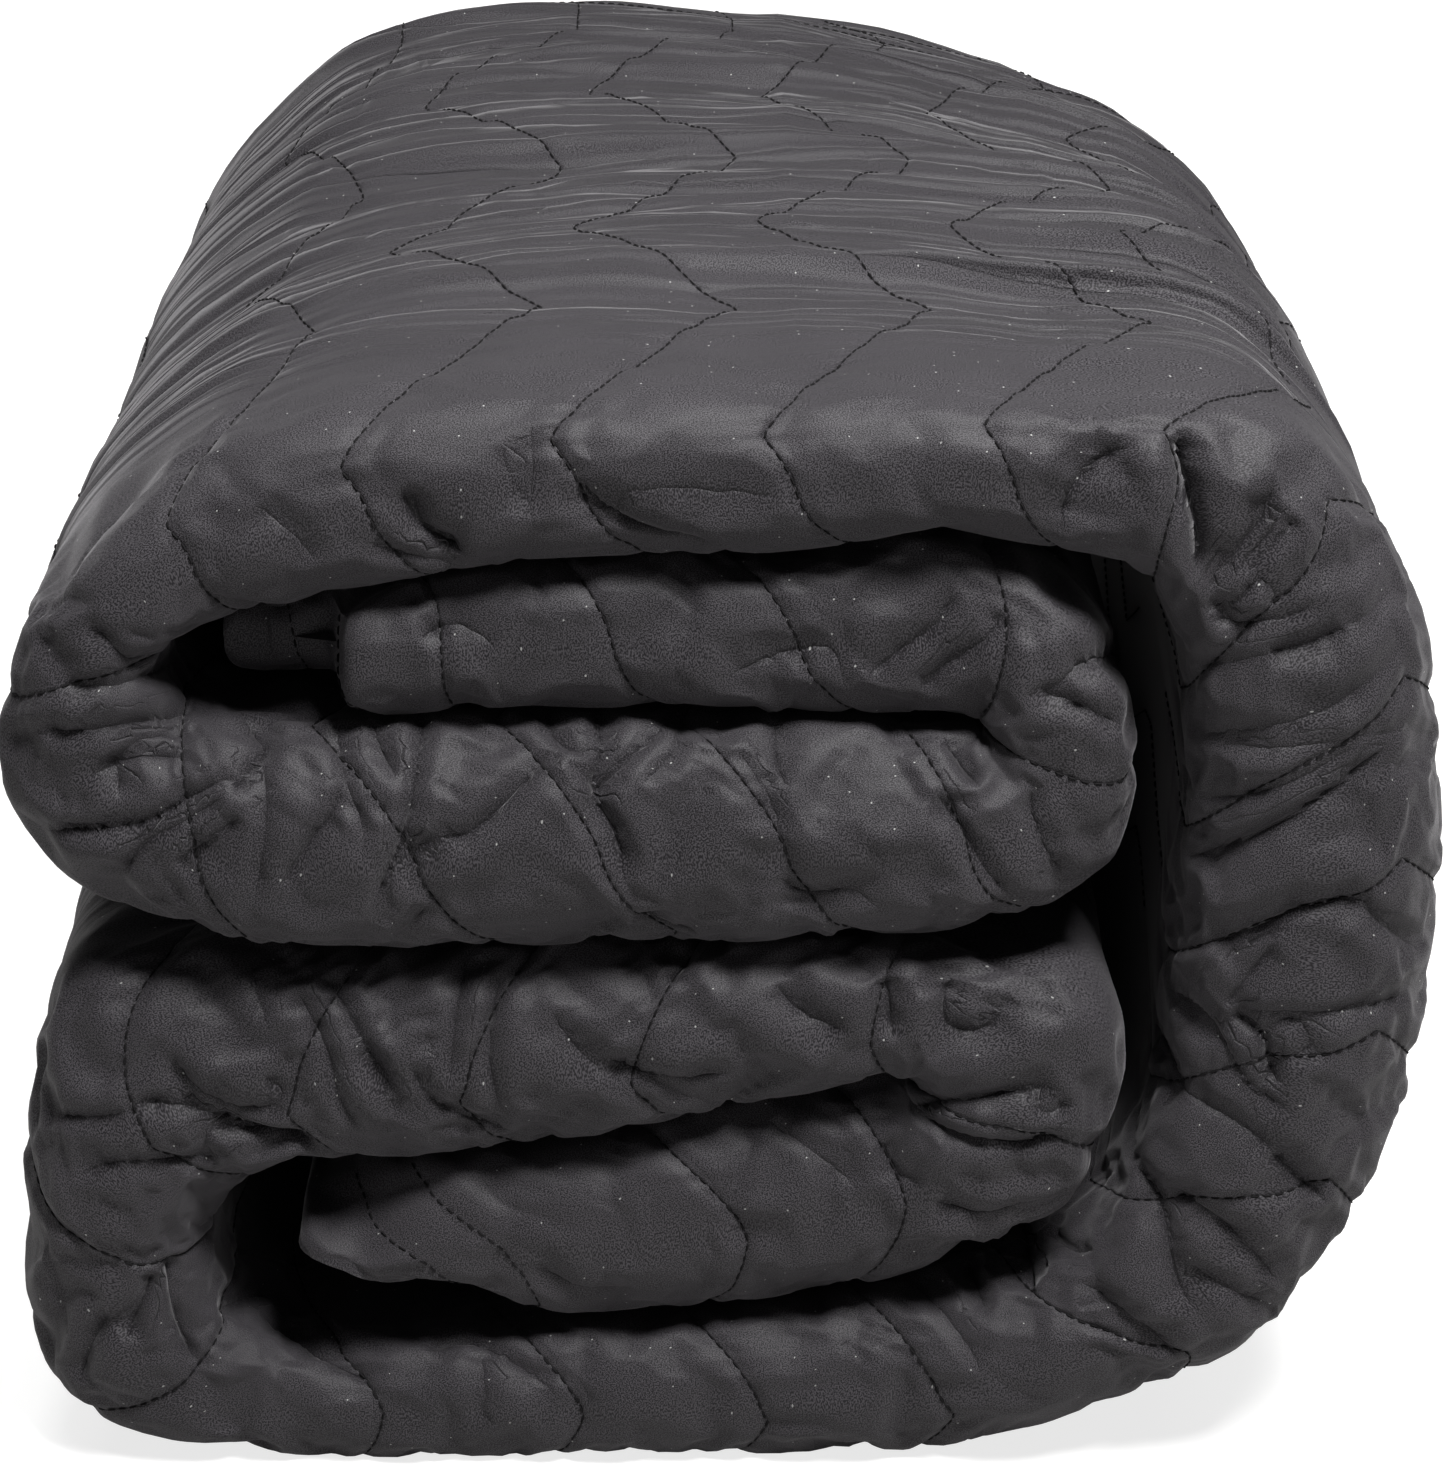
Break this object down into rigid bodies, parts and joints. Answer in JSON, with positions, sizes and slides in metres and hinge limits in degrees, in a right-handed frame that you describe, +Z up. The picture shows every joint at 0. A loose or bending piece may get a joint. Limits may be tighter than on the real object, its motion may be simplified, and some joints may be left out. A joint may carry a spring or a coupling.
{
  "type": "sound dampening blanket",
  "caption": "Thick quilted sound dampening blanket, folded in half, rolled in from both ends and folded shut into a soft bundle that lies flat on one side.",
  "frame": {"origin": "middle of the underside, on the surface that the bundle lies on", "axes": "+Z up, +Y from the folded front edges to the hems at the rear, +X towards the big outer fold"},
  "size_m": [0.4208, 0.5003, 0.336],
  "materials": {
    "cloth": "dark charcoal closely woven microfibre with a slight satin sheen, quilted in zigzag lines with matching thread"
  },
  "bodies": {
    "root": {"blanket": "cloth"}
  },
  "joints": []
}
